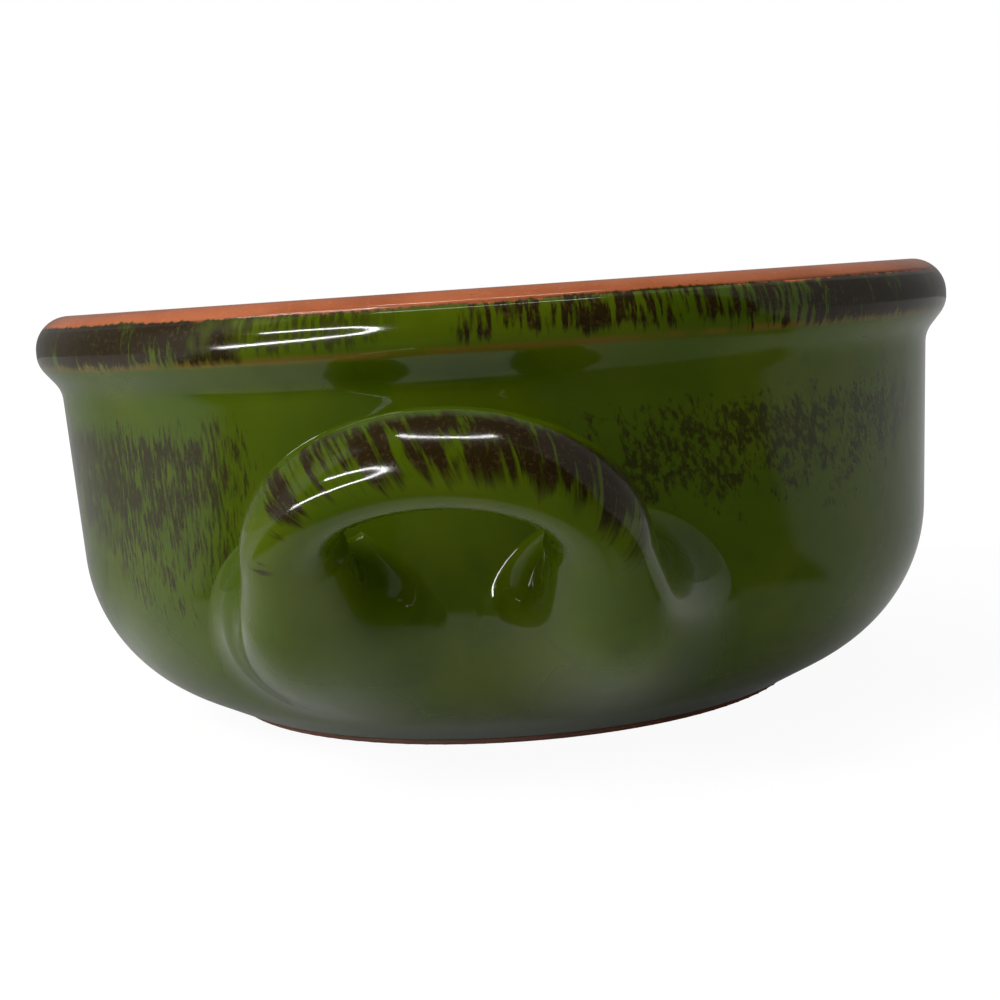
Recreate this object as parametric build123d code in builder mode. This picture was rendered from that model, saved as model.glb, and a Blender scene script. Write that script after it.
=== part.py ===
"""Individual soup crock: a glazed terracotta bowl with a rolled collar rim and two loop handles.

Millimetres. The origin is at the middle of the foot, +Z is up, and the front handle points to -Y.
"""
from build123d import *
import math
import os

# Clay bowl, outside
RIM_DIAMETER = 149.2
BODY_HEIGHT = 66.1
FOOT_INSET = 21.483
FOOT_EDGE = 1.0
FOOT_ROUND = 0.5
FLANK_ANGLE = 28.0
BELLY_ROUND = 26.0

# Rolled collar round the rim, and the wall's taper below it
COLLAR_OVERHANG = 3.4
WALL_TAPER = 1.9
COLLAR_FACE = 7.0
COLLAR_UNDERCUT = 4.2
NECK_ROUND = 5.0
COLLAR_LOWER_ROUND = 4.0
COLLAR_UPPER_ROUND = 5.0
LIP_ROUND = 3.0

# Clay bowl, inside and underneath
WALL = 6.0
FLOOR_HEIGHT = 6.5
INSIDE_ROUND = 22.0
FOOT_RING_WIDTH = 8.0
RECESS_DEPTH = 1.0

# Coats
GLAZE = 0.4
SLIP = 0.6
GLAZE_LINE_DROP = 1.5

# Loop handles: the bar's centre line, its oval section and its flared roots
HANDLE_REACH = 18.8
CROWN_DROP = 19.3
ROOT_HEIGHT = 23.0
ROOT_BEND = 6.0
LEG_SPACING = 40.8
ROOT_SPACING = 41.8
ARCH_RISE = 14.5
BAR_THICKNESS = 9.8
BAR_WIDTH = 13.8
ROOT_THICKNESS = 19.0
ROOT_WIDTH = 18.0
FLARE_LENGTH = 22.0
FLARE_EASE = 1.6
ROOT_STRAIGHT = 3.6
ROOT_BURY = 9.0
LOOP_STATIONS = 11

# Turn of each handle about the crock's axis, and the corner that section rectangles start from
SIDES = {"front": 0, "rear": 180}
CORNER = (Align.MIN, Align.MIN)

rim_radius = RIM_DIAMETER / 2
neck_radius = rim_radius - COLLAR_OVERHANG
belly_radius = neck_radius - WALL_TAPER
foot_radius = belly_radius - FOOT_INSET
lip_radius = neck_radius - WALL
inside_radius = belly_radius - WALL
recess_radius = foot_radius - FOOT_RING_WIDTH
belly_height = FOOT_EDGE + (belly_radius - foot_radius) * math.tan(math.radians(FLANK_ANGLE))
collar_height = BODY_HEIGHT - COLLAR_FACE
neck_height = collar_height - COLLAR_UNDERCUT
glaze_line = BODY_HEIGHT - GLAZE_LINE_DROP
crest_radius = (lip_radius + LIP_ROUND + rim_radius - COLLAR_UPPER_ROUND) / 2


def wall_radius(height):
    """Outside radius of the straight part of the clay wall at a height."""
    share = (height - belly_height) / (neck_height - belly_height)
    return belly_radius + share * (neck_radius - belly_radius)


# Outside of the clay, from the foot's edge up to the crest of the rim
with BuildLine() as outside_line:
    FilletPolyline(
        (foot_radius, FOOT_EDGE),
        (belly_radius, belly_height),
        (neck_radius, neck_height),
        (rim_radius, collar_height),
        (rim_radius, BODY_HEIGHT),
        (crest_radius, BODY_HEIGHT),
        radius=[BELLY_ROUND, NECK_ROUND, COLLAR_LOWER_ROUND, COLLAR_UPPER_ROUND],
    )

# Inside of the clay, from the crest of the rim down to the middle of the floor
with BuildLine() as inside_line:
    FilletPolyline(
        (crest_radius, BODY_HEIGHT),
        (lip_radius, BODY_HEIGHT),
        (inside_radius, FLOOR_HEIGHT),
        (0, FLOOR_HEIGHT),
        radius=[LIP_ROUND, INSIDE_ROUND],
    )

# Bare clay underneath: a foot ring round a shallow recess
with BuildLine() as bare_line:
    FilletPolyline(
        (0, FLOOR_HEIGHT),
        (0, RECESS_DEPTH),
        (recess_radius, RECESS_DEPTH),
        (recess_radius + RECESS_DEPTH, 0),
        (foot_radius, 0),
        (foot_radius, FOOT_EDGE),
        radius=[0, 0, 0, FOOT_ROUND],
    )

with BuildSketch() as clay_section:
    with BuildLine():
        add(outside_line.line)
        add(inside_line.line)
        add(bare_line.line)
    make_face()

with BuildSketch() as hollow_section:
    with BuildLine():
        add(inside_line.line)
        Polyline((0, FLOOR_HEIGHT), (0, BODY_HEIGHT), (crest_radius, BODY_HEIGHT))
    make_face()


def crock_form(coat):
    """Half section of the crock with its hollow filled and an even coat all over it."""
    with BuildSketch() as section:
        add(clay_section.sketch)
        add(hollow_section.sketch)
        with Locations((0, RECESS_DEPTH)):
            Rectangle(foot_radius, RECESS_DEPTH, align=(Align.MIN, Align.MAX))
        if coat:
            offset(amount=coat)
            with Locations((0, -coat)):
                Rectangle(RIM_DIAMETER, BODY_HEIGHT + 2 * coat, align=CORNER, mode=Mode.INTERSECT)
    return section.sketch


with BuildPart() as crock_body:
    with BuildSketch(Plane.XZ):
        add(clay_section.sketch)
    revolve(axis=Axis.Z)


# Centre line of a loop handle. Seen from the side it leaves the wall squarely for ROOT_STRAIGHT, bends up
# over ROOT_BEND and runs straight to the crown. Seen along that line it is two legs joined by half an ellipse.
crown_height = BODY_HEIGHT - CROWN_DROP
crown_reach = wall_radius(crown_height) + HANDLE_REACH
root_reach = math.sqrt(wall_radius(ROOT_HEIGHT) ** 2 - (ROOT_SPACING / 2) ** 2)
bend_reach = root_reach + ROOT_STRAIGHT
to_crown = Vector(crown_reach - bend_reach, crown_height - ROOT_HEIGHT - ROOT_BEND)
rise_angle = math.atan2(to_crown.Y, to_crown.X) + math.asin(ROOT_BEND / to_crown.length)
bend_length = ROOT_BEND * rise_angle
side_length = bend_length + math.sqrt(to_crown.length**2 - ROOT_BEND**2)
leg_length = side_length - ARCH_RISE


def side_point(run):
    """Reach, height and slope of the centre line, seen from the side, at a run from its bend."""
    turn = min(max(run / ROOT_BEND, 0), rise_angle)
    straight = run - turn * ROOT_BEND
    reach = bend_reach + ROOT_BEND * math.sin(turn) + straight * math.cos(turn)
    height = ROOT_HEIGHT + ROOT_BEND * (1 - math.cos(turn)) + straight * math.sin(turn)
    return reach, height, turn


def loop_section(place, way, coat):
    """Oval section of the bar, square to its centre line, with a coat added all round."""
    reach, height, turn = side_point(place.Y)
    flare = min(max(1 - place.Y / FLARE_LENGTH, 0), 1) ** FLARE_EASE
    thickness = BAR_THICKNESS + flare * (ROOT_THICKNESS - BAR_THICKNESS)
    width = BAR_WIDTH + flare * (ROOT_WIDTH - BAR_WIDTH)
    along = Vector(way.X, -way.Y * math.cos(turn), way.Y * math.sin(turn))
    flat = Vector(0, math.sin(turn), math.cos(turn))
    plane = Plane(origin=(place.X, -reach, height), x_dir=flat.cross(along), z_dir=along)
    with BuildSketch(plane) as section:
        Ellipse(thickness / 2 + coat, width / 2 + coat)
    return section.sketch


# The loop seen along its slope: two legs and the arch between them
with BuildLine() as loop_line:
    Line((-ROOT_SPACING / 2, 0), (-LEG_SPACING / 2, leg_length))
    EllipticalCenterArc((0, leg_length), LEG_SPACING / 2, ARCH_RISE, arc_size=180)
    Line((LEG_SPACING / 2, leg_length), (ROOT_SPACING / 2, 0))


def loop_sections(coat):
    """Sections of a loop handle at even steps from one root over the crown to the other."""
    path = loop_line.wires()[0]
    steps = [k / (LOOP_STATIONS - 1) for k in range(LOOP_STATIONS)]
    return [loop_section(path @ step, path % step, coat) for step in steps]


# The filled clay crock, and the same with a coat of the slip that beds the handles
with BuildPart() as clay_form:
    with BuildSketch(Plane.XZ):
        add(crock_form(0))
    revolve(axis=Axis.Z)

with BuildPart() as slip_form:
    with BuildSketch(Plane.XZ):
        add(crock_form(SLIP))
    revolve(axis=Axis.Z)


def loop_form(coat):
    """One whole loop with a coat, its roots carried straight on into the wall."""
    with BuildPart() as loop:
        loft(loop_sections(coat))
        extrude(faces().filter_by(GeomType.PLANE), amount=ROOT_STRAIGHT + ROOT_BURY)
    return loop.part


clay_loop = loop_form(0)
glazed_loop = loop_form(GLAZE)

# One loop handle, and the pair of slip joints where its roots cross the bed of slip, at the front
with BuildPart() as loop_handle:
    add(clay_loop)
    add(slip_form.part, mode=Mode.SUBTRACT)

with BuildPart() as loop_slip:
    with BuildSketch(Plane.XZ):
        add(crock_form(SLIP))
        add(crock_form(0), mode=Mode.SUBTRACT)
    revolve(axis=Axis.Z)
    with BuildPart(mode=Mode.INTERSECT):
        for root in loop_sections(0)[:: LOOP_STATIONS - 1]:
            extrude(root, amount=ROOT_STRAIGHT + ROOT_BURY, both=True)


def banded_crock(coat, loop):
    """The filled crock with a coat and both loops, from the foot's edge up to the glaze line."""
    with BuildPart() as crock:
        with BuildSketch(Plane.XZ):
            add(crock_form(coat))
            with Locations((0, FOOT_EDGE)):
                Rectangle(RIM_DIAMETER, glaze_line - FOOT_EDGE, align=CORNER, mode=Mode.INTERSECT)
        revolve(axis=Axis.Z)
        for turn in SIDES.values():
            add(loop, rotation=(0, 0, turn))
    return crock.part


# Green glaze over the wall and both handles, closed from the skins of the glazed and the bare form with a
# ring at each end
glazed_form = banded_crock(GLAZE, glazed_loop)
bare_form = banded_crock(0, clay_loop)
skins = glazed_form.faces().filter_by(GeomType.PLANE, reverse=True)
skins += bare_form.faces().filter_by(GeomType.PLANE, reverse=True)
glazed_ends = glazed_form.faces().filter_by(GeomType.PLANE).sort_by(Axis.Z)
bare_ends = bare_form.faces().filter_by(GeomType.PLANE).sort_by(Axis.Z)
rings = [Face(outer.outer_wire(), [inner.outer_wire()]) for outer, inner in zip(glazed_ends, bare_ends)]
with BuildPart() as outer_glaze:
    add(Solid(Shell(skins + rings)))

# Clear glaze over the rim's top and the whole inside
with BuildPart() as inner_glaze:
    with BuildSketch(Plane.XZ):
        add(clay_section.sketch)
        offset(amount=GLAZE)
        add(clay_section.sketch, mode=Mode.SUBTRACT)
        with BuildSketch(mode=Mode.INTERSECT):
            add(hollow_section.sketch)
            with Locations((0, glaze_line)):
                Rectangle(RIM_DIAMETER, BODY_HEIGHT, align=CORNER)
    revolve(axis=Axis.Z)

os.makedirs("parts", exist_ok=True)
pieces = {"crock_body": crock_body.part, "outer_glaze": outer_glaze.part, "inner_glaze": inner_glaze.part}
for side, turn in SIDES.items():
    with BuildPart() as handle:
        add(loop_handle.part, rotation=(0, 0, turn))
    pieces[f"{side}_handle"] = handle.part
    with BuildPart() as slips:
        add(loop_slip.part, rotation=(0, 0, turn))
    for hand, slip in zip(("left", "right"), slips.part.solids().sort_by(Axis.X)):
        pieces[f"{side}_{hand}_slip"] = slip

for name, piece in pieces.items():
    piece.label = name
    export_step(piece, f"parts/{name}.step")
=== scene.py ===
"""Looks of a glazed soup crock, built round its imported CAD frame.

Lengths are millimetres in the shapes and patterns, and metres in the meshes and on the stage. The front
handle points to -Y and +Z is up. Angles round the crock are degrees, 0 at the front handle and growing to
the right.
"""
import math

import bpy
import numpy as np
from mathutils import Matrix


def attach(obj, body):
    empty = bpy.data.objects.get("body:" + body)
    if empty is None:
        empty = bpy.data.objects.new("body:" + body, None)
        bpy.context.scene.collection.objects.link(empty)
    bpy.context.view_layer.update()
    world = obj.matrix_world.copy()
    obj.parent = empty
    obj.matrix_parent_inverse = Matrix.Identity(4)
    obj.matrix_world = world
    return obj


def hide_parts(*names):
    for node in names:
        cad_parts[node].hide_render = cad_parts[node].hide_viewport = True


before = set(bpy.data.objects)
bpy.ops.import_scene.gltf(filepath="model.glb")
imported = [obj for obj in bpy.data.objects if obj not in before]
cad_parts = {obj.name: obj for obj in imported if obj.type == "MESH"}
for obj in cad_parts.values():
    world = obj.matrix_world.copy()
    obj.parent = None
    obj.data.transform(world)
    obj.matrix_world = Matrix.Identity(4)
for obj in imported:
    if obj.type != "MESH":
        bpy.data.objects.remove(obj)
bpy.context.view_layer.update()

MM = 0.001
DEGREES = 180 / math.pi

# Clay bowl and its coats
RIM_RADIUS = 74.6
BODY_HEIGHT = 66.1
COLLAR_OVERHANG = 3.4
COLLAR_FACE = 7.0
COLLAR_UNDERCUT = 4.2
WALL_TAPER = 1.9
FOOT_INSET = 21.483
FOOT_EDGE = 1.0
FLANK_ANGLE = math.radians(28)
BELLY_ROUND = 26.0
NECK_ROUND = 5.0
COLLAR_LOWER_ROUND = 4.0
COLLAR_UPPER_ROUND = 5.0
LIP_ROUND = 3.0
INSIDE_ROUND = 22.0
WALL = 6.0
FLOOR_HEIGHT = 6.5
GLAZE = 0.4
GLAZE_LINE_DROP = 1.5
BACKING = 0.05
POLE_RADIUS = 0.02

NECK_RADIUS = RIM_RADIUS - COLLAR_OVERHANG
BELLY_RADIUS = NECK_RADIUS - WALL_TAPER
FOOT_RADIUS = BELLY_RADIUS - FOOT_INSET
LIP_RADIUS = NECK_RADIUS - WALL
COLLAR_HEIGHT = BODY_HEIGHT - COLLAR_FACE
NECK_HEIGHT = COLLAR_HEIGHT - COLLAR_UNDERCUT
BELLY_HEIGHT = FOOT_EDGE + FOOT_INSET * math.tan(FLANK_ANGLE)
GLAZE_LINE = BODY_HEIGHT - GLAZE_LINE_DROP

# Loop handles, a hair inside the reach of the CAD's loops
HANDLE_REACH = 18.77
CROWN_DROP = 19.3
ROOT_HEIGHT = 23.0
ROOT_BEND = 6.0
ROOT_STRAIGHT = 3.6
LEG_SPACING = 40.8
ROOT_SPACING = 41.8
ARCH_RISE = 14.5
BAR_THICKNESS = 9.8
BAR_WIDTH = 13.8
ROOT_THICKNESS = 19.0
ROOT_WIDTH = 18.0
FLARE_LENGTH = 22.0
FLARE_EASE = 1.6
CROWN_HEIGHT = BODY_HEIGHT - CROWN_DROP

# Swelling of a loop's coat into its opening: how much, and where along the leg it starts and is full
SWELL = 2.4
SWELL_FROM = 29.0
SWELL_TO = 17.0

# Blend of a leg into the wall: where it leaves the leg, how far it runs out on the wall, and how strongly
# the leg and the wall pull on its curve. The skirt is the sunken edge beyond it.
BLEND_RUN = 9.0
BLEND_RISE = 4.0
BLEND_LEAST = 2.0
BLEND_ABOVE = 5.0
BLEND_BELOW = 13.5
LEG_PULL = 0.32
WALL_PULL = 0.15
WALL_PULL_BELOW = 0.36
ROOT_SKIRT = 1.2
ROOT_SINK = 0.3

# Mesh fineness: points round the bowl and the bar, along the section and along the loop
AROUND = 360
GIRTH = 96
LINE_POINTS = 900
FRONT_STEP = 3
WALL_BACK_STEP = 6
INSIDE_BACK_STEP = 12
SCAN_POINTS = 300
SCAN_INSIDE = 5.0
SLOPE_STEP = 0.1
BLEND_ROWS = 40
LEG_ROWS = 24
ARCH_ROWS = 90

# Strength of the glazes' mirror
SHEEN = 0.36
GLASS_IOR = 1.5

# Colours of the finishes
GREEN = (0.042, 0.070, 0.0008)
PALE_GREEN = (0.060, 0.085, 0.0016)
DEEP_GREEN = (0.03, 0.056, 0.0006)
RIM_GREEN = (0.035, 0.035, 0.004)
BROWN = (0.014, 0.006, 0.002)
PALE_BROWN = (0.04, 0.022, 0.008)
AMBER = (0.13, 0.072, 0.012)
CHIP = (0.30, 0.32, 0.16)
RIM_CLAY = (0.42, 0.10, 0.03)
DARK_RIM_CLAY = (0.30, 0.07, 0.02)
INSIDE_CLAY = (0.38, 0.11, 0.042)
DARK_INSIDE_CLAY = (0.28, 0.075, 0.027)
HONEY = (0.52, 0.17, 0.06)
IRON = (0.07, 0.02, 0.01)
TERRACOTTA = (0.40, 0.135, 0.06)
DARK_TERRACOTTA = (0.27, 0.075, 0.035)
GROG = (0.55, 0.27, 0.15)

# Sponged zones round the crock, from and to. Those behind count the same way to both sides.
COLLAR_LEFT = (-92.0, -23.0)
COLLAR_RIGHT = (34.0, 92.0)
COLLAR_BEHIND = (98.0, 158.0)
FRINGE_LEFT = (-26.0, -4.0)
FRINGE_RIGHT = (6.0, 37.0)
WALL_LEFT = (-84.0, -22.0)
WALL_RIGHT = (14.0, 72.0)
WALL_BEHIND = (100.0, 153.0)

# Heights between which the sponge marks fade in or out
COLLAR_FULL = (58.4, 59.6)
COLLAR_FRINGE = (60.0, 61.6)
WALL_TOP = (56.0, 46.0)
WALL_LEFT_LOW = (14.0, 44.0)
WALL_RIGHT_LOW = (24.0, 46.0)
LOWER_EDGE = (58.4, 59.3)
GREEN_TOP = 64.75


def rounded(points, radii, steps=24):
    """A polyline with round corners. A corner where the line turns by a gets an arc of its radius, which
    touches both sides at radius * tan(a / 2) from the corner."""
    points = np.array(points, float)
    line = [points[:1]]
    for before, corner, after, radius in zip(points, points[1:], points[2:], radii):
        into = (corner - before) / np.linalg.norm(corner - before)
        out = (after - corner) / np.linalg.norm(after - corner)
        turn = math.atan2(into[0] * out[1] - into[1] * out[0], into @ out)
        start = corner - into * radius * math.tan(abs(turn) / 2)
        side = np.array([-into[1], into[0]]) * math.copysign(radius, turn)
        angle = np.linspace(0, turn, steps)[:, None]
        line.append(start + side - side * np.cos(angle) + into * radius * np.sin(np.abs(angle)))
    line.append(points[-1:])
    return np.concatenate(line)


def resampled(line, count):
    """The same line with points evenly spaced along it."""
    length = np.concatenate([[0], np.cumsum(np.linalg.norm(np.diff(line, axis=0), axis=1))])
    even = np.linspace(0, length[-1], count)
    return np.stack([np.interp(even, length, line[:, k]) for k in range(2)], 1)


def directions(line):
    """Unit vectors along a line."""
    slope = np.gradient(line, axis=0)
    return slope / np.linalg.norm(slope, axis=1)[:, None]


def coated(line, coat):
    """The line moved by a coat to its right-hand side, with its end kept on the axis."""
    slope = directions(line)
    moved = line + coat * np.stack([slope[:, 1], -slope[:, 0]], 1)
    moved[-1, 0] = 0
    return moved


# Section of the clay from the foot's edge up the outside, over the rim and down the inside to the middle
clay_line = resampled(
    rounded(
        [
            (FOOT_RADIUS, FOOT_EDGE),
            (BELLY_RADIUS, BELLY_HEIGHT),
            (NECK_RADIUS, NECK_HEIGHT),
            (RIM_RADIUS, COLLAR_HEIGHT),
            (RIM_RADIUS, BODY_HEIGHT),
            (LIP_RADIUS, BODY_HEIGHT),
            (BELLY_RADIUS - WALL, FLOOR_HEIGHT),
            (0, FLOOR_HEIGHT),
        ],
        [BELLY_ROUND, NECK_ROUND, COLLAR_LOWER_ROUND, COLLAR_UPPER_ROUND, LIP_ROUND, INSIDE_ROUND],
    ),
    LINE_POINTS,
)
glaze_line = coated(clay_line, GLAZE)
back_line = coated(clay_line, BACKING)
seam = int(np.argmax(glaze_line[:, 1] > GLAZE_LINE))
first = int(np.argmax(glaze_line[:, 1] > FOOT_EDGE))


def grid_object(name, grid, ends, values):
    """A closed mesh from a grid of points, rows by columns. Columns always meet again, and rows either meet
    again too (ends "joined") or are closed by a fan to the middle of the first and last row (ends "fans").
    Each quad is (row, column), (row, next), (next, next), (next, column). The faces are turned over if the
    signed volume, the sum of a . (b x c) / 6 over all triangles, is negative."""
    rows, columns = grid.shape[:2]
    points = grid.reshape(-1, 3)
    joined = ends == "joined"
    row = np.arange(rows if joined else rows - 1)[:, None]
    column = np.arange(columns)[None, :]
    next_row = (row + 1) % rows
    next_column = (column + 1) % columns
    corners = [
        row * columns + column,
        row * columns + next_column,
        next_row * columns + next_column,
        next_row * columns + column,
    ]
    quads = np.stack(np.broadcast_arrays(*corners), -1).reshape(-1, 4)
    fans = np.zeros((0, 3), int)
    if not joined:
        count = len(points)
        ring = np.arange(columns)
        around = (ring + 1) % columns
        last = (rows - 1) * columns
        points = np.concatenate([points, grid[0].mean(0)[None], grid[-1].mean(0)[None]])
        first_fan = np.stack([around, ring, np.full(columns, count)], 1)
        last_fan = np.stack([last + ring, last + around, np.full(columns, count + 1)], 1)
        fans = np.concatenate([first_fan, last_fan])
        values = {
            key: np.concatenate([value.reshape(-1), [value[0].mean(), value[-1].mean()]])
            for key, value in values.items()
        }
    triangles = np.concatenate([quads[:, [0, 1, 2]], quads[:, [0, 2, 3]], fans])
    a, b, c = (points[triangles[:, k]] for k in range(3))
    if np.einsum("ij,ij->i", a, np.cross(b, c)).sum() < 0:
        quads = quads[:, ::-1]
        fans = fans[:, ::-1]
    mesh = bpy.data.meshes.new(name)
    mesh.vertices.add(len(points))
    mesh.vertices.foreach_set("co", (points * MM).astype(np.float32).reshape(-1))
    loops = np.concatenate([quads.reshape(-1), fans.reshape(-1)])
    sizes = np.concatenate([np.full(len(quads), 4), np.full(len(fans), 3)])
    mesh.loops.add(len(loops))
    mesh.loops.foreach_set("vertex_index", loops.astype(np.int32))
    mesh.polygons.add(len(sizes))
    mesh.polygons.foreach_set("loop_start", (np.cumsum(sizes) - sizes).astype(np.int32))
    mesh.polygons.foreach_set("use_smooth", np.ones(len(sizes), bool))
    for key, value in values.items():
        attribute = mesh.attributes.new(key, "FLOAT", "POINT")
        attribute.data.foreach_set("value", value.reshape(-1).astype(np.float32))
    mesh.update(calc_edges=True)
    mesh.validate()
    piece = bpy.data.objects.new(name, mesh)
    bpy.context.scene.collection.objects.link(piece)
    return piece


def turned(line):
    """A closed section turned round the crock's axis: (r cos a, r sin a, z)."""
    angle = np.linspace(0, 2 * np.pi, AROUND, endpoint=False)[None, :]
    radius = line[:, :1]
    height = line[:, 1:] + 0 * angle
    return np.stack([radius * np.cos(angle), radius * np.sin(angle), height], -1)


def wall_gap(points):
    """Distance of points from the glazed wall's outside, and the wall's outward direction there. The
    nearest place on the section is the nearest of its points, moved along its slope to the foot of the
    perpendicular."""
    radius = np.hypot(points[..., 0], points[..., 1])
    line = glaze_line[:seam]
    slope = directions(line)
    flat = np.stack([radius, points[..., 2]], -1).reshape(-1, 1, 2)
    nearest = np.argmin(((flat - line[None]) ** 2).sum(-1), 1)
    spacing = np.linalg.norm(line[1] - line[0])
    beyond = ((flat[:, 0] - line[nearest]) * slope[nearest]).sum(1) / spacing
    place = np.clip(nearest + beyond, 0, len(line) - 1)
    index = np.arange(len(line))
    along = np.stack([np.interp(place, index, slope[:, k]) for k in range(2)], 1)
    foot = np.stack([np.interp(place, index, line[:, k]) for k in range(2)], 1)
    outward = np.stack([along[:, 1], -along[:, 0]], 1)
    gap = ((flat[:, 0] - foot) * outward).sum(1).reshape(radius.shape)
    outward = outward.reshape(radius.shape + (2,))
    level = outward[..., :1] * points[..., :2] / radius[..., None]
    return gap, np.concatenate([level, outward[..., 1:]], -1)


def onto_wall(points):
    """The nearest points on the glazed wall, and the wall's outward direction there."""
    gap, direction = wall_gap(points)
    return points - gap[..., None] * direction, direction


def wall_radius(height):
    """Outside radius of the straight part of the clay wall."""
    share = (height - BELLY_HEIGHT) / (NECK_HEIGHT - BELLY_HEIGHT)
    return BELLY_RADIUS + share * (NECK_RADIUS - BELLY_RADIUS)


# Side view of a loop's middle line: out of the wall, round the root's bend and straight to the crown
crown_reach = wall_radius(CROWN_HEIGHT) + HANDLE_REACH
root_reach = math.sqrt(wall_radius(ROOT_HEIGHT) ** 2 - (ROOT_SPACING / 2) ** 2)
bend_reach = root_reach + ROOT_STRAIGHT
to_crown = (crown_reach - bend_reach, CROWN_HEIGHT - ROOT_HEIGHT - ROOT_BEND)
rise_angle = math.atan2(to_crown[1], to_crown[0]) + math.asin(ROOT_BEND / math.hypot(*to_crown))
side_length = ROOT_BEND * rise_angle + math.sqrt(math.hypot(*to_crown) ** 2 - ROOT_BEND**2)
leg_length = side_length - ARCH_RISE
splay = (LEG_SPACING - ROOT_SPACING) / 2 / leg_length


def bar_points(across, run, across_slope, run_slope, girth):
    """Points on the glazed bar: centre + (t/2) cos(g) side + (w/2) sin(g) flat, square to the centre line,
    with the oval's t by w growing towards the root as (1 - run / flare length) ** ease. The coat swells
    towards the loop's opening by SWELL ((1 + cos g) / 2)^2, fading out towards the crown."""
    turn = np.clip(run / ROOT_BEND, 0, rise_angle)
    straight = run - turn * ROOT_BEND
    reach = bend_reach + ROOT_BEND * np.sin(turn) + straight * np.cos(turn)
    height = ROOT_HEIGHT + ROOT_BEND * (1 - np.cos(turn)) + straight * np.sin(turn)
    flare = np.clip(1 - run / FLARE_LENGTH, 0, 1) ** FLARE_EASE
    thickness = BAR_THICKNESS + flare * (ROOT_THICKNESS - BAR_THICKNESS) + 2 * GLAZE
    width = BAR_WIDTH + flare * (ROOT_WIDTH - BAR_WIDTH) + 2 * GLAZE
    along = np.stack([across_slope + 0 * run, -run_slope * np.cos(turn), run_slope * np.sin(turn)], -1)
    along /= np.linalg.norm(along, axis=-1, keepdims=True)
    flat = np.stack([0 * run, np.sin(turn), np.cos(turn)], -1)
    side = np.cross(flat, along)
    centre = np.stack([across + 0 * run, -reach, height], -1)
    fade = np.clip((SWELL_FROM - run) / (SWELL_FROM - SWELL_TO), 0, 1)
    swell = SWELL * fade**2 * (3 - 2 * fade) * ((1 + np.cos(girth)) / 2) ** 2
    oval = (np.cos(girth) * thickness / 2 + swell)[..., None] * side
    return centre + oval + np.sin(girth)[..., None] * flat * width[..., None] / 2, centre


def leg_points(run, girth, hand):
    """Points on one leg, hand -1 for the left and 1 for the right, walked towards the crown on the left."""
    across = hand * (ROOT_SPACING / 2 + splay * run)
    return bar_points(across, run, -splay + 0 * run, -hand + 0 * run, girth)


def along_wall(vectors, direction):
    """Unit vectors with their part square to the wall taken out."""
    level = vectors - (vectors * direction).sum(-1, keepdims=True) * direction
    return level / np.linalg.norm(level, axis=-1, keepdims=True)


def meeting_runs(girth, hand):
    """How far along the leg each of its girth lines leaves the glazed wall for good."""
    scan = np.linspace(-ROOT_STRAIGHT - ROOT_BEND - SCAN_INSIDE, leg_length, SCAN_POINTS)
    runs, girths = np.meshgrid(scan, girth, indexing="ij")
    gap, _ = wall_gap(leg_points(runs, girths, hand)[0])
    outside = np.cumprod(gap[::-1] > 0, 0)[::-1]
    after = np.maximum(np.argmax(outside, 0), 1)
    column = np.arange(GIRTH)
    share = -gap[after - 1, column] / (gap[after, column] - gap[after - 1, column])
    return scan[after - 1] + share * (scan[after] - scan[after - 1])


def root_rows(hand):
    """Rows of one leg from the wall up to the arch, and each point's run along the leg. Up to BLEND_RUN,
    and BLEND_RISE more on top, the leg flows into the wall along the curve (1-s)^3 a + 3 (1-s)^2 s b
    + 3 (1-s) s^2 c + s^3 d, from the wall point a to the leg point d. Its inner points b and c lie along
    the wall and along the leg, so it leaves both smoothly. Point a lies past the place where the plain leg
    would meet the wall, by BLEND_ABOVE on top growing to BLEND_BELOW on the underside. A sunken skirt on
    the wall ends it."""
    girth = np.linspace(0, 2 * np.pi, GIRTH, endpoint=False)
    meets = meeting_runs(girth, hand)
    met, centre = leg_points(meets, girth, hand)
    met, direction = onto_wall(met)
    away = along_wall(met - centre, direction)
    below = ((1 - np.sin(girth)) / 2) ** 2
    blend = BLEND_ABOVE + (BLEND_BELOW - BLEND_ABOVE) * below
    start, direction = onto_wall(met + blend[:, None] * away)
    away = along_wall(away, direction)
    leave = np.maximum(BLEND_RUN + BLEND_RISE * (1 - below), meets + BLEND_LEAST)
    end, _ = leg_points(leave, girth, hand)
    slope = leg_points(leave - SLOPE_STEP, girth, hand)[0] - end
    slope /= np.linalg.norm(slope, axis=-1, keepdims=True)
    span = np.linalg.norm(end - start, axis=-1, keepdims=True)
    wall_pull = span * (WALL_PULL + (WALL_PULL_BELOW - WALL_PULL) * below)[:, None]
    s = np.linspace(0, 1, BLEND_ROWS)[:, None, None]
    curve = (1 - s) ** 3 * start + 3 * (1 - s) ** 2 * s * (start - wall_pull * away)
    curve = curve + 3 * (1 - s) * s**2 * (end + LEG_PULL * span * slope) + s**3 * end
    run = leave[None, :] + np.linspace(0, 1, LEG_ROWS)[1:, None] * (leg_length - leave)[None, :]
    leg, _ = leg_points(run, girth[None, :] + 0 * run, hand)
    skirt, skirt_direction = onto_wall(start + ROOT_SKIRT * away)
    skirt = skirt - ROOT_SINK / 4 * skirt_direction
    sunk = skirt - ROOT_SINK * skirt_direction
    blend_run = meets[None, :] + s[..., 0] * (leave - meets)[None, :]
    rows = np.concatenate([sunk[None], skirt[None], curve, leg])
    return rows, np.concatenate([meets[None], meets[None], blend_run, run])


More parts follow.
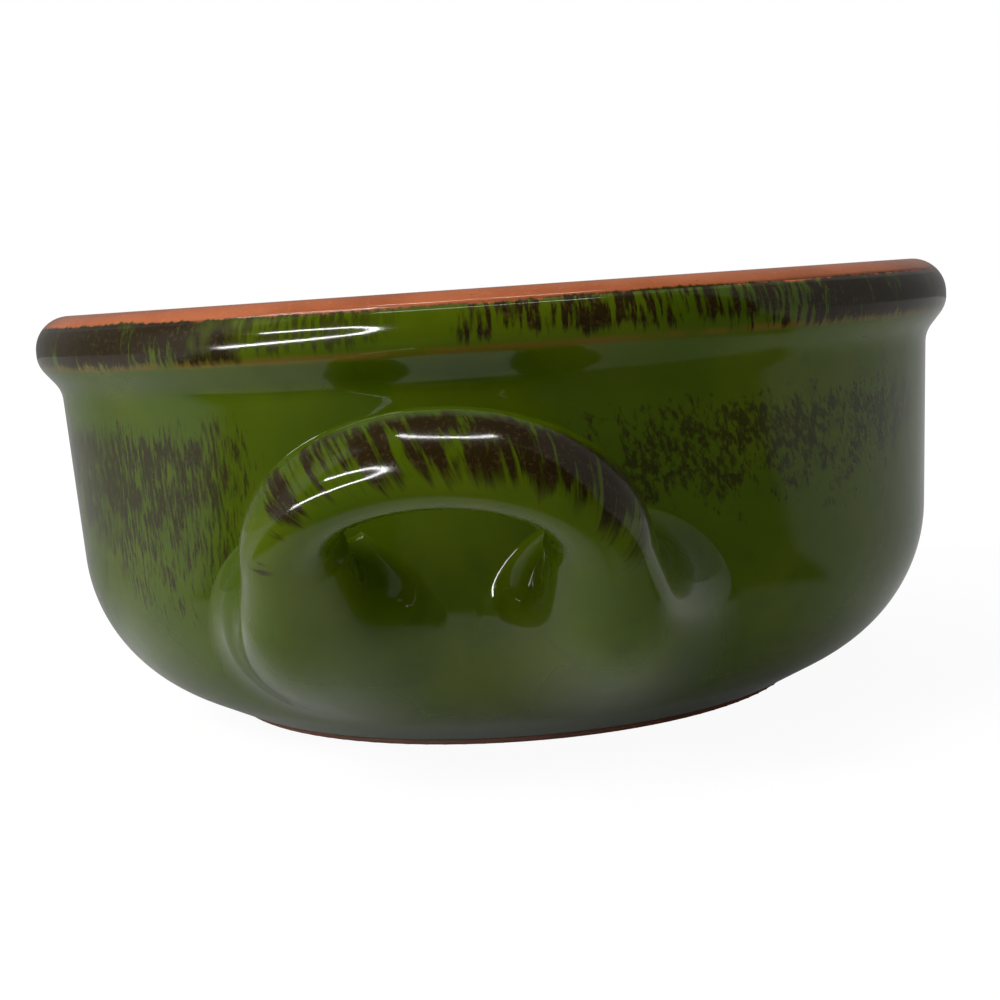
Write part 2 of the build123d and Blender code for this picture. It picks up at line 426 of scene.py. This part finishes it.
def loop_grid():
    """Grid of a whole loop handle, from the left root over the crown to the right root, with each point's
    place along the loop (0 to 1) and its direction round the bar (outer and upper, -1 to 1)."""
    girth = np.linspace(0, 2 * np.pi, GIRTH, endpoint=False)
    left, left_run = root_rows(-1)
    right, right_run = root_rows(1)
    angle = np.linspace(np.pi, 0, ARCH_ROWS)[1:-1, None] + 0 * girth[None, :]
    arch, _ = bar_points(
        LEG_SPACING / 2 * np.cos(angle),
        leg_length + ARCH_RISE * np.sin(angle),
        LEG_SPACING / 2 * np.sin(angle),
        -ARCH_RISE * np.cos(angle),
        girth[None, :] + 0 * angle,
    )
    grid = np.concatenate([left, arch, right[::-1]])
    arch_place = 0.25 + (np.pi - angle) / np.pi / 2
    place = np.concatenate([left_run / leg_length / 4, arch_place, 1 - right_run[::-1] / leg_length / 4])
    outer = -np.cos(girth)[None, :] + 0 * place
    upper = np.sin(girth)[None, :] + 0 * place
    return grid, {"place": place, "outer": outer, "upper": upper}


class Socket:
    """A shader socket that takes part in sums, so that a pattern reads as a formula."""

    def __init__(self, tree, socket):
        self.tree = tree
        self.socket = socket

    def feed(self, socket, value):
        if isinstance(value, Socket):
            self.tree.links.new(value.socket, socket)
        else:
            socket.default_value = value

    def node(self, kind, inputs, output=0, **settings):
        """Any node: its inputs by name or number, the number or name of the output wanted, its settings."""
        made = self.tree.nodes.new(kind)
        for key, value in settings.items():
            setattr(made, key, value)
        for key, value in inputs.items():
            self.feed(made.inputs[key], value)
        return Socket(self.tree, made.outputs[output])

    def maths(self, operation, *values):
        return self.node("ShaderNodeMath", dict(enumerate(values)), operation=operation)

    def __add__(self, other):
        return self.maths("ADD", self, other)

    def __radd__(self, other):
        return self.maths("ADD", other, self)

    def __sub__(self, other):
        return self.maths("SUBTRACT", self, other)

    def __rsub__(self, other):
        return self.maths("SUBTRACT", other, self)

    def __mul__(self, other):
        return self.maths("MULTIPLY", self, other)

    def __rmul__(self, other):
        return self.maths("MULTIPLY", other, self)

    def __neg__(self):
        return self.maths("MULTIPLY", self, -1.0)

    def absolute(self):
        return self.maths("ABSOLUTE", self)

    def least(self, other):
        return self.maths("MINIMUM", self, other)

    def most(self, other):
        return self.maths("MAXIMUM", self, other)

    def step(self, low, high):
        """0 below low, 1 above high and a smooth rise between. If low is above high it falls instead."""
        inputs = {0: self, 1: low, 2: high}
        return self.node("ShaderNodeMapRange", inputs, interpolation_type="SMOOTHSTEP")

    def band(self, low, high, soft):
        """1 between low and high, with soft ends."""
        return self.step(low - soft, low + soft) * self.step(high + soft, high - soft)

    def blend(self, other, factor):
        """This colour mixed with another by a factor."""
        return self.node("ShaderNodeMix", {0: factor, 6: self, 7: other}, 2, data_type="RGBA")

    def ray_kinds(self):
        """1 for a camera, a glossy and a transmission ray, each on its own socket."""
        kinds = ("Camera", "Glossy", "Transmission")
        return [self.node("ShaderNodeLightPath", {}, f"Is {kind} Ray") for kind in kinds]


class Look:
    """A material under construction: its sockets for places in millimetres, and its surface node."""

    def __init__(self, name):
        self.material = bpy.data.materials.new(name)
        self.material.use_nodes = True
        self.tree = self.material.node_tree
        self.surface = self.tree.nodes["Principled BSDF"]
        self.start = Socket(self.tree, None)
        place = self.start.node("ShaderNodeTexCoord", {}, "Object")
        to_millimetres = {0: place, 1: (1 / MM,) * 3}
        self.place = self.start.node("ShaderNodeVectorMath", to_millimetres, operation="MULTIPLY")
        self.x, self.y, self.z = (
            self.start.node("ShaderNodeSeparateXYZ", {0: self.place}, k) for k in range(3)
        )

    def turn(self):
        """Angle round the crock in radians."""
        return self.start.maths("ARCTAN2", self.x, -self.y)

    def angle(self):
        """Angle round the crock in degrees."""
        return self.turn() * DEGREES

    def radius(self):
        return self.start.maths("SQRT", self.x * self.x + self.y * self.y)

    def colour(self, red, green, blue):
        return self.start.node("ShaderNodeCombineColor", {0: red, 1: green, 2: blue})

    def value(self, name):
        return self.start.node("ShaderNodeAttribute", {}, "Fac", attribute_name=name)

    def vector(self, x, y, z):
        return self.start.node("ShaderNodeCombineXYZ", {0: x, 1: y, 2: z})

    def noise(self, place, scale, detail=2.0, rough=0.5):
        inputs = {"Vector": place, "Scale": scale, "Detail": detail, "Roughness": rough}
        return self.start.node("ShaderNodeTexNoise", inputs)

    def set(self, **inputs):
        for key, value in inputs.items():
            self.start.feed(self.surface.inputs[key.replace("_", " ")], value)

    def bump(self, height, strength, distance):
        inputs = {"Height": height, "Strength": strength, "Distance": distance}
        self.set(Normal=self.start.node("ShaderNodeBump", inputs, "Normal"))

    def glow(self, level):
        """White light of a level, to show in place of the surface or mixed with it."""
        return self.start.node("ShaderNodeEmission", {"Color": (1, 1, 1, 1), "Strength": level})

    def show(self, shader):
        self.tree.links.new(shader.socket, self.tree.nodes["Material Output"].inputs[0])


def sponge_edge(look):
    """Height at which the green ends below the rim's top, uneven from the sponge."""
    arc = look.turn() * NECK_RADIUS
    dab = look.noise(look.vector(arc, 0.0, 2.0), 1.2, 3.0, 0.6)
    shift = look.noise(look.vector(arc, 0.0, 3.0), 0.05, 2.0)
    return (dab - 0.5) * 1.1 + (shift - 0.5) * 1.4 + GREEN_TOP


def handle_sponge(look):
    """Share of brown on a loop: slanting strokes over the outer side of its arch, thinner at the left."""
    place = look.value("place")
    girth = look.start.maths("ARCTAN2", look.value("upper"), look.value("outer")) * DEGREES
    run = place * 150.0
    strokes = look.noise(look.vector(run + girth * 0.05, girth * 0.012, 0.0), 0.8, 4.0, 0.6)
    clumps = look.noise(look.vector(run, girth * 0.05, 4.0), 0.22, 2.0)
    arch = (place - 0.5 + (clumps - 0.5) * 0.1).absolute().step(0.27, 0.16)
    front_edge = (girth + (strokes - 0.5) * 90.0 + (clumps - 0.5) * 40.0).step(-72.0, -42.0)
    rear_edge = (girth + (strokes - 0.5) * 45.0).step(26.0, 8.0)
    cover = (0.45 + arch * 0.55) * arch.step(0.0, 0.3) * (front_edge * rear_edge)
    thinned = (place - 0.5).least(0.0) * 1.1
    return cover * (strokes + clumps * 0.6 + arch * 0.1 + thinned).step(0.71, 0.87)


def collar_sponge(look, angle, arc):
    """Share of brown on the collar: upright strokes, over its whole face in some zones and as a fringe
    along its top in others."""
    z = look.z
    dab = look.noise(look.vector(arc, z * 0.16, 2.0), 1.1, 4.0, 0.62)
    shift = look.noise(look.vector(arc, z * 0.2, 3.0), 0.09, 2.0)
    clot = look.noise(look.vector(arc, z * 0.5, 8.0), 0.25, 2.0)
    strayed = angle + (shift - 0.5) * 16.0 + (dab - 0.5) * 26.0
    heavy = strayed.band(*COLLAR_LEFT, 7.0).most(strayed.band(*COLLAR_RIGHT, 7.0))
    heavy = heavy.most(strayed.absolute().band(*COLLAR_BEHIND, 9.0))
    light = strayed.band(*FRINGE_RIGHT, 4.0).most(strayed.band(*FRINGE_LEFT, 4.0) * 0.7)
    low = (z + (dab - 0.5) * 4.0).step(*COLLAR_FULL)
    high = (z + (dab - 0.5) * 7.0).step(*COLLAR_FRINGE)
    full = low * heavy.step(0.0, 0.2) * (dab + clot * 0.55 + heavy * 0.5).step(1.04, 1.22)
    fringe = high * light * (dab + clot * 0.4).step(0.61, 0.75)
    return full.most(fringe)


def wall_sponge(look, angle, arc):
    """Share of brown on the wall: fine upright streaks at the left and behind, and coarser, slanting dabs
    at the right. The patches have ragged edges and thin out downwards."""
    z = look.z
    behind = angle.absolute().step(92.0, 96.0)
    patch = look.noise(look.vector(arc, z * 0.7, 9.0), 0.13, 2.0)
    tuft = look.noise(look.vector(arc, z * 0.5, 7.0), 0.4, 2.0)
    ragged = (patch - 0.5) * 30.0 + (tuft - 0.5) * 14.0
    strayed = angle + ragged
    under_collar = (z + ragged * 0.12).step(*WALL_TOP)
    height = z + ragged * 0.5
    left = strayed.band(*WALL_LEFT, 11.0) * (1.0 - behind)
    left = left.most(strayed.absolute().band(*WALL_BEHIND, 11.0) * behind)
    left = left * under_collar * (0.35 + 0.65 * height.step(*WALL_LEFT_LOW))
    streaks = look.noise(look.vector(arc, z * 0.14, 0.0), 1.9, 4.0, 0.62)
    fine = left.step(0.0, 0.3) * (streaks + tuft * 0.35 + left * 0.4).step(0.92, 1.1)
    right = strayed.band(*WALL_RIGHT, 11.0) * under_collar
    right = right * (0.12 + 0.88 * height.step(*WALL_RIGHT_LOW))
    dabs = look.noise(look.vector(arc + z * 0.25, z * 0.5, 5.0), 1.5, 4.0, 0.6)
    coarse = right.step(0.0, 0.3) * (dabs + tuft * 0.35 + right * 0.4).step(0.96, 1.14)
    return (fine * 0.85).most(coarse * 0.75)


def green_glaze(name, on_handle):
    """Gloss green glaze with brown sponge marks, specks and pale chips. On the wall it turns amber at the
    collar's lower edge and ends in bare-looking clay below the rim's top."""
    look = Look(name)
    mottle = look.noise(look.place, 0.05, 3.0)
    cloud = look.noise(look.place, 0.16, 3.0)
    grain = look.noise(look.place, 1.6, 2.0)
    green = look.colour(*GREEN).blend(look.colour(*PALE_GREEN), mottle.step(0.35, 0.7))
    green = green.blend(look.colour(*DEEP_GREEN), cloud.step(0.5, 0.8) * 0.5)
    brown = look.colour(*BROWN).blend(look.colour(*PALE_BROWN), grain.step(0.5, 0.8))
    if on_handle:
        cover = handle_sponge(look)
    else:
        angle = look.angle()
        arc = angle * (NECK_RADIUS / DEGREES)
        cover = wall_sponge(look, angle, arc).most(collar_sponge(look, angle, arc))
        lower_edge = look.z.band(*LOWER_EDGE, 0.4) * cloud.step(0.2, 0.55)
        green = green.blend(look.colour(*AMBER), lower_edge * 0.7)
    specks = look.noise(look.place, 0.9, 4.0, 0.7).step(0.72, 0.75)
    green = green.blend(brown, (cover * 0.95).most(specks * 0.6))
    chips = look.noise(look.place, 0.55, 5.0, 0.75).step(0.745, 0.76)
    green = green.blend(look.colour(*CHIP), chips * 0.7)
    if not on_handle:
        clay = look.colour(*RIM_CLAY).blend(look.colour(*DARK_RIM_CLAY), cloud.step(0.4, 0.7))
        green = green.blend(clay, (look.z - sponge_edge(look)).step(-0.15, 0.15))
    look.set(Base_Color=green, Roughness=0.05 + cover * 0.06 + grain * 0.02)
    look.set(IOR=GLASS_IOR, Specular_IOR_Level=SHEEN)
    look.bump(look.noise(look.place, 0.07, 1.0) + cover * 0.02, 0.1, 0.001)
    return look.material


def clear_glaze(name):
    """Clear gloss glaze over terracotta, with honey flecks, iron specks and a rest of green at its edge."""
    look = Look(name)
    cloud = look.noise(look.place, 0.06, 3.0)
    grain = look.noise(look.place, 1.3, 3.0)
    clay = look.colour(*INSIDE_CLAY).blend(look.colour(*DARK_INSIDE_CLAY), cloud.step(0.35, 0.7))
    clay = clay.blend(look.colour(*HONEY), grain.step(0.55, 0.8) * 0.5)
    specks = look.noise(look.place, 0.8, 3.0, 0.7).step(0.70, 0.73)
    clay = clay.blend(look.colour(*IRON), specks * 0.8)
    green = (sponge_edge(look) - look.z).step(-0.15, 0.15) * look.radius().step(72.0, 72.5)
    clay = clay.blend(look.colour(*RIM_GREEN), green)
    look.set(Base_Color=clay, Roughness=0.1 + grain * 0.08)
    look.set(IOR=GLASS_IOR, Specular_IOR_Level=SHEEN)
    look.bump(look.noise(look.place, 0.08, 2.0) + grain * 0.02, 0.12, 0.001)
    return look.material


def fired_clay(name, shade):
    """Bare fired clay: matte, grainy, with pale grog and faint turning lines, all darkened by the shade."""
    look = Look(name)
    plain, dark, pale = (
        look.colour(*(shade * part for part in colour)) for colour in (TERRACOTTA, DARK_TERRACOTTA, GROG)
    )
    cloud = look.noise(look.place, 0.05, 3.0)
    grain = look.noise(look.place, 2.2, 4.0, 0.65)
    rings = look.start.maths("SINE", look.radius() * 2.6 + cloud * 6.0)
    clay = plain.blend(dark, cloud.step(0.35, 0.7)).blend(pale, grain.step(0.62, 0.75) * 0.6)
    look.set(Base_Color=clay, Roughness=0.78 + grain * 0.15)
    look.bump(grain + rings * 0.12, 0.35, 0.0004)
    return look.material


def dressed(piece, material, slot, *nodes):
    piece.data.materials.append(material)
    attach(piece, "root")
    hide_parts(*nodes)


# Green glaze on the wall, clear glaze over the rim and inside, and the two glazed loops
wall_front = np.concatenate([glaze_line[first:seam:FRONT_STEP], glaze_line[seam:seam + 1]])
wall_section = np.concatenate([wall_front, back_line[first:seam + 1:WALL_BACK_STEP][::-1]])
wall_coat = grid_object("wall_glaze", turned(wall_section), "joined", {})
dressed(wall_coat, green_glaze("green_glaze_wall", False), "green_glaze", "outer_glaze")

inside_front = np.concatenate([glaze_line[seam::FRONT_STEP], glaze_line[-1:]])
inside_section = np.concatenate([back_line[seam::INSIDE_BACK_STEP][::-1], inside_front])
inside_section[:, 0] = np.maximum(inside_section[:, 0], POLE_RADIUS)
inside_coat = grid_object("inside_glaze", turned(inside_section), "fans", {})
dressed(inside_coat, clear_glaze("clear_glaze"), "clear_glaze", "inner_glaze")

handle_look = green_glaze("green_glaze_handle", True)
loop, loop_values = loop_grid()
for side, flip in (("front", 1), ("rear", -1)):
    coat = grid_object(f"{side}_handle_glaze", loop * np.array([flip, flip, 1]), "fans", loop_values)
    dressed(coat, handle_look, "green_glaze", "outer_glaze")

# Fired clay on the CAD's own bowl, handles and slip joints
clay_look = fired_clay("terracotta", 1.0)
slip_look = fired_clay("slip", 0.85)
for name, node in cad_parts.items():
    if name in ("outer_glaze", "inner_glaze"):
        continue
    node.data.materials.clear()
    node.data.materials.append(slip_look if name.endswith("_slip") else clay_look)

# Floor, light and camera
FLOOR_HALF = 4.0
ROOM_RADIUS = 1.6
ROOM_HEIGHT = 2.6
LAMP_TARGET = (0, 0, 0.03)
HOOK = [(-50, 27), (-38, 30), (-28, 31), (-22, 27), (-21, 21), (-25, 14), (-36, 9), (-58, 4)]
STRIP = [(-70, 74), (0, 74), (70, 74)]
scene = bpy.context.scene
scene.view_settings.view_transform = "Standard"


def stage_mesh(name, points, faces, material):
    mesh = bpy.data.meshes.new(name)
    mesh.from_pydata(points, [], faces)
    mesh.materials.append(material)
    thing = bpy.data.objects.new(name, mesh)
    scene.collection.objects.link(thing)
    return thing


def mirror_only(card):
    """Shows a card or tube lamp in the glaze alone: the camera doesn't see it and it casts no shadow."""
    card.visible_camera = False
    card.visible_diffuse = False
    card.visible_shadow = False


def floor_look():
    """White to the camera with a rest of shading for the shadow. In the glaze it mirrors darker: dim near
    the foot and at the right, and unlit in front beyond a line that comes closer between the legs."""
    look = Look("floor")
    look.set(Base_Color=(0.7, 0.7, 0.7, 1), Roughness=0.8)
    camera, glossy, through = look.start.ray_kinds()
    angle = look.angle()
    radius = look.radius()
    between_legs = angle.band(-17.0, 19.0, 5.0)
    unlit = angle.step(-68.0, -57.0) * (radius + angle * 0.3 + between_legs * 12.0).step(114.0, 130.0)
    unlit = unlit * angle.step(72.0, 66.0)
    dimmed = angle.step(-5.0, 42.0) * (1.0 - 0.42 * angle.step(45.0, 85.0))
    mirrored = (0.14 + 0.45 * radius.step(44.0, 88.0)) * (1.0 - unlit) * (1.0 - 0.68 * dimmed)
    mirrored = mirrored * (1.0 - 0.5 * angle.step(-75.0, -110.0)) + 0.01
    level = camera * (1.05 + 0.08 * radius.step(200.0, 700.0)) + (1.0 - camera) * mirrored
    lit = camera * 0.9 + (glossy + through).least(1.0) * 0.95
    shaded = Socket(look.tree, look.surface.outputs[0])
    look.show(look.start.node("ShaderNodeMixShader", {0: lit, 1: shaded, 2: look.glow(level)}))
    return look.material


def room_look():
    """The room that mirrors in the glaze: dark in front, with a pale wall at the left and a grey one at
    the right."""
    look = Look("room")
    angle = look.angle()
    left = angle.step(-57.0, -68.0) * (0.54 - 0.38 * angle.step(-72.0, -100.0))
    right = angle.step(69.0, 70.0) * (0.27 - 0.08 * angle.step(95.0, 120.0))
    look.show(look.glow(0.01 + left + right))
    return look.material


def lamp_look(name, strength):
    """A lamp of plain brightness."""
    look = Look(name)
    look.show(look.glow(strength))
    return look.material


def room_ring(name, radius, height, material):
    """An upright ring of card round the crock: (r sin a, -r cos a) from the floor to a height."""
    angle = np.radians(np.linspace(-180, 180, 181))
    ring = np.stack([np.sin(angle) * radius, -np.cos(angle) * radius], 1)
    points = np.concatenate([np.c_[ring, np.zeros(len(ring))], np.c_[ring, np.full(len(ring), height)]])
    step = np.arange(len(ring) - 1)
    quads = np.stack([step, step + 1, step + 1 + len(ring), step + len(ring)], 1)
    mirror_only(stage_mesh(name, points.tolist(), quads.tolist(), material))


def tube_lamp(name, places, distance, thickness, strength, rows=60, sides=8):
    """A thin bent tube through places given as angle round the crock and height angle, in degrees. Its
    rings lie round the line d (sin t cos h, -cos t cos h, sin h), along its side and outward direction."""
    places = np.radians(np.array(places, float))
    even = np.linspace(0, len(places) - 1, rows)
    turn, rise = (np.interp(even, np.arange(len(places)), places[:, k]) for k in range(2))
    out = np.stack([np.sin(turn) * np.cos(rise), -np.cos(turn) * np.cos(rise), np.sin(rise)], 1)
    line = distance * out
    slope = np.gradient(line, axis=0)
    slope /= np.linalg.norm(slope, axis=1)[:, None]
    side = np.cross(slope, out)
    ring = np.linspace(0, 2 * np.pi, sides, endpoint=False)[None, :, None]
    points = line[:, None] + thickness * (np.cos(ring) * side[:, None] + np.sin(ring) * out[:, None])
    row, column = np.meshgrid(np.arange(rows - 1) * sides, np.arange(sides), indexing="ij")
    after = (column + 1) % sides
    quads = np.stack([row + column, row + after, row + sides + after, row + sides + column], -1)
    material = lamp_look(name, strength)
    mirror_only(stage_mesh(name, points.reshape(-1, 3).tolist(), quads.reshape(-1, 4).tolist(), material))


def facing(right, up, back):
    """The turn whose axes are the three given directions."""
    return Matrix(np.column_stack([right, up, back]).tolist()).to_4x4()


def area_lamp(name, place, size, power):
    """A square lamp that points at the crock and doesn't mirror in it."""
    lamp = bpy.data.lights.new(name, "AREA")
    lamp.shape = "RECTANGLE"
    lamp.size = size
    lamp.size_y = size
    lamp.energy = power
    holder = bpy.data.objects.new(name, lamp)
    scene.collection.objects.link(holder)
    away = np.array(place) - np.array(LAMP_TARGET)
    away /= np.linalg.norm(away)
    right = np.cross([0, 0, 1], away)
    right /= np.linalg.norm(right)
    holder.matrix_world = Matrix.Translation(place) @ facing(right, np.cross(away, right), away)
    holder.visible_glossy = False


floor_corners = [(x * FLOOR_HALF, y * FLOOR_HALF, 0) for x, y in ((-1, -1), (1, -1), (1, 1), (-1, 1))]
stage_mesh("floor", floor_corners, [(0, 1, 2, 3)], floor_look())
room_ring("room", ROOM_RADIUS, ROOM_HEIGHT, room_look())
tube_lamp("hook_lamp", HOOK, distance=0.9, thickness=0.016, strength=60)
tube_lamp("strip_lamp", STRIP, distance=1.1, thickness=0.022, strength=40)
area_lamp("key_lamp", (-1.1, -0.8, 1.1), size=0.7, power=31)
area_lamp("top_lamp", (-0.3, 0.3, 1.5), size=1.2, power=12)

# World: white to the camera, faint light on the crock, fainter still as a mirror image
world = bpy.data.worlds.new("studio")
scene.world = world
world.use_nodes = True
background = world.node_tree.nodes["Background"]
background.inputs["Color"].default_value = (1, 1, 1, 1)
sky = Socket(world.node_tree, None)
to_camera, to_gloss, to_glass = sky.ray_kinds()
sky.feed(background.inputs["Strength"], 0.2 + to_camera * 0.8 - (to_gloss + to_glass).least(1.0) * 0.14)

# Camera: azimuth from the front, distance and height in metres, pitch down and roll in radians
AZIMUTH = math.radians(5.4)
DISTANCE = 0.2932
EYE_HEIGHT = 0.0665
PITCH = 0.124
ROLL = 0.068
level_right = np.array([math.cos(AZIMUTH), math.sin(AZIMUTH), 0])
forward = np.array([-math.sin(AZIMUTH), math.cos(AZIMUTH), 0])
ahead = math.cos(PITCH) * forward - math.sin(PITCH) * np.array([0, 0, 1])
level_up = np.cross(level_right, ahead)
right = math.cos(ROLL) * level_right - math.sin(ROLL) * level_up
up = math.cos(ROLL) * level_up + math.sin(ROLL) * level_right
lens = bpy.data.cameras.new("camera")
lens.sensor_width = 36
lens.lens = 61.74
lens.shift_x = -0.0033
lens.shift_y = 0.0005
lens.clip_start = 0.01
camera = bpy.data.objects.new("camera", lens)
scene.collection.objects.link(camera)
eye = (DISTANCE * math.sin(AZIMUTH), -DISTANCE * math.cos(AZIMUTH), EYE_HEIGHT)
camera.matrix_world = Matrix.Translation(eye) @ facing(right, up, -ahead)
scene.camera = camera
